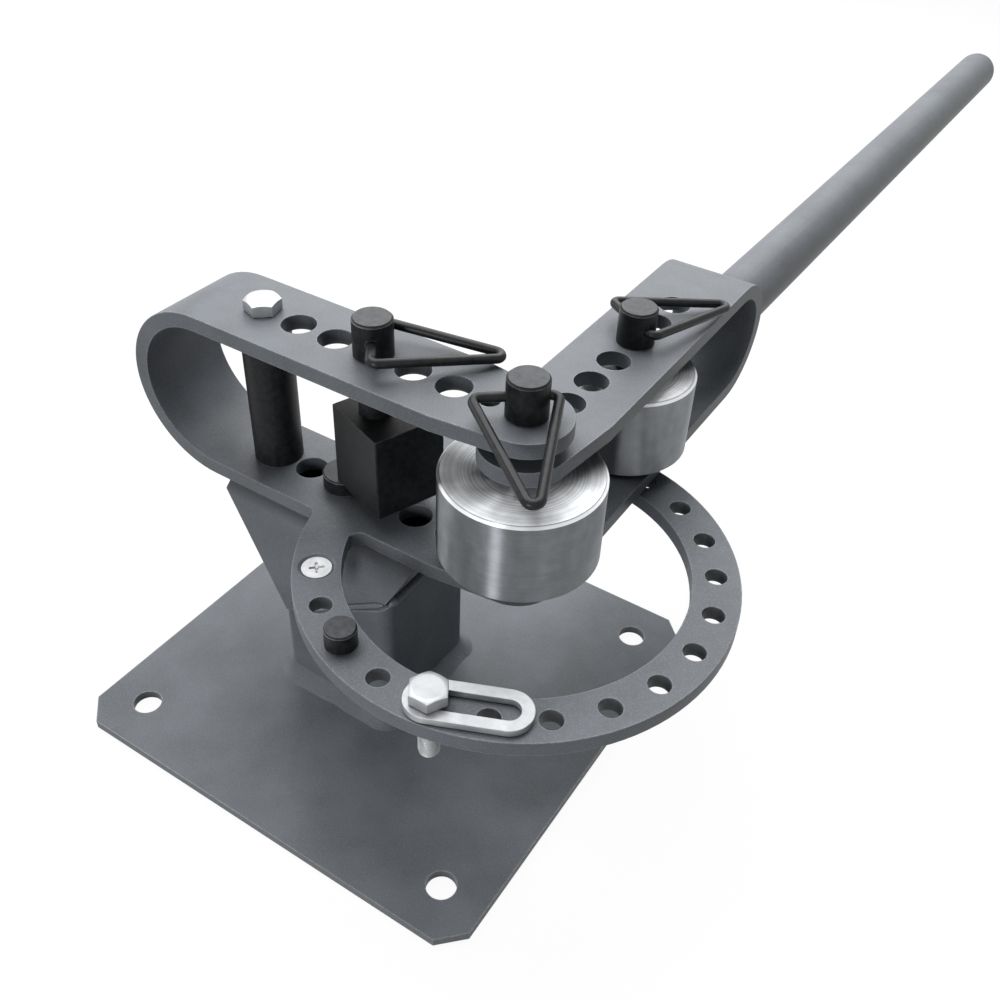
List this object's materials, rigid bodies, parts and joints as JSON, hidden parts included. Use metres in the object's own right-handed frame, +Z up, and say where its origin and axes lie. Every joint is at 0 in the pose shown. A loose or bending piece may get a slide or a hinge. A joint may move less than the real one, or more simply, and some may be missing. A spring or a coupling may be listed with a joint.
{
  "type": "bench metal bender",
  "caption": "Bench metal bender: post-mounted flat-bar bow with an index ring, a swinging arm bow with handle, pull pins, round dies and a square block.",
  "frame": {"origin": "centre of the four anchor holes on the underside of the base plate", "axes": "+Z up, +Y along the swing arm and its handle in the stored pose, -X towards the closed end of the fixed bow"},
  "size_m": [0.321, 0.9612, 0.2293],
  "materials": {
    "paint": "satin powder coat",
    "black_steel": "black oxide",
    "zinc": "bright zinc plating",
    "bare_steel": "turned bare steel"
  },
  "bodies": {
    "frame": {"base_plate": "paint", "post": "paint", "saddle_sides": "paint", "saddle_ends": "paint", "fixed_bow": "paint", "spacer_post": "black_steel", "spacer_bolt": "zinc", "ring_screw": "zinc", "link_bolt": "zinc", "block_rest": "black_steel"},
    "arm": {"arm_bow": "paint", "handle_tube": "paint"},
    "pivot_pin": {"pivot_pin": "black_steel"},
    "pivot_clip": {"pivot_clip": "black_steel"},
    "block_pin": {"block_pin": "black_steel"},
    "block_clip": {"block_clip": "black_steel"},
    "roller_pin": {"roller_pin": "black_steel"},
    "roller_clip": {"roller_clip": "black_steel"},
    "centre_die": {"centre_die": "bare_steel"},
    "roller_die": {"roller_die": "bare_steel"},
    "square_block": {"square_block": "black_steel"},
    "slotted_link": {"slotted_link": "zinc"},
    "stop_pin": {"stop_pin": "black_steel"}
  },
  "joints": [
    {"name": "arm_swing", "type": "hinge", "parent": "frame", "child": "arm", "pos_m": [0.072, 0, 0.16], "axis": [0, 0, 1], "range_deg": [-125, 40]},
    {"name": "centre_die_spin", "type": "hinge", "parent": "frame", "child": "centre_die", "pos_m": [0.072, 0, 0.156], "axis": [0, 0, 1], "continuous": true},
    {"name": "roller_die_spin", "type": "hinge", "parent": "arm", "child": "roller_die", "pos_m": [0.072, 0.103, 0.156], "axis": [0, 0, 1], "continuous": true},
    {"name": "block_turn", "type": "hinge", "parent": "frame", "child": "square_block", "pos_m": [-0.009, 0, 0.155], "axis": [0, 0, 1], "continuous": true},
    {"name": "pivot_pin_pull", "type": "slide", "parent": "frame", "child": "pivot_pin", "axis": [0, 0, 1], "range_m": [0, 0.1]},
    {"name": "block_pin_pull", "type": "slide", "parent": "frame", "child": "block_pin", "axis": [0, 0, 1], "range_m": [0, 0.1]},
    {"name": "roller_pin_pull", "type": "slide", "parent": "arm", "child": "roller_pin", "axis": [0, 0, 1], "range_m": [0, 0.072]},
    {"name": "pivot_clip_swing", "type": "hinge", "parent": "pivot_pin", "child": "pivot_clip", "pos_m": [0.072, 0, 0.2198], "axis": [0.766, 0.6428, 0], "range_deg": [-60, 1]},
    {"name": "block_clip_swing", "type": "hinge", "parent": "block_pin", "child": "block_clip", "pos_m": [-0.009, 0, 0.2198], "axis": [-0.5592, 0.829, 0], "range_deg": [-50, 0.5]},
    {"name": "roller_clip_swing", "type": "hinge", "parent": "roller_pin", "child": "roller_clip", "pos_m": [0.072, 0.103, 0.205], "axis": [-0.866, 0.5, 0], "range_deg": [-50, 0.5]},
    {"name": "link_turn", "type": "hinge", "parent": "frame", "child": "slotted_link", "pos_m": [0.08711, -0.09227, 0.127], "axis": [0, 0, 1], "range_deg": [-100, 60]},
    {"name": "stop_pin_lift", "type": "slide", "parent": "frame", "child": "stop_pin", "axis": [0, 0, 1], "range_m": [0, 0.014]}
  ]
}
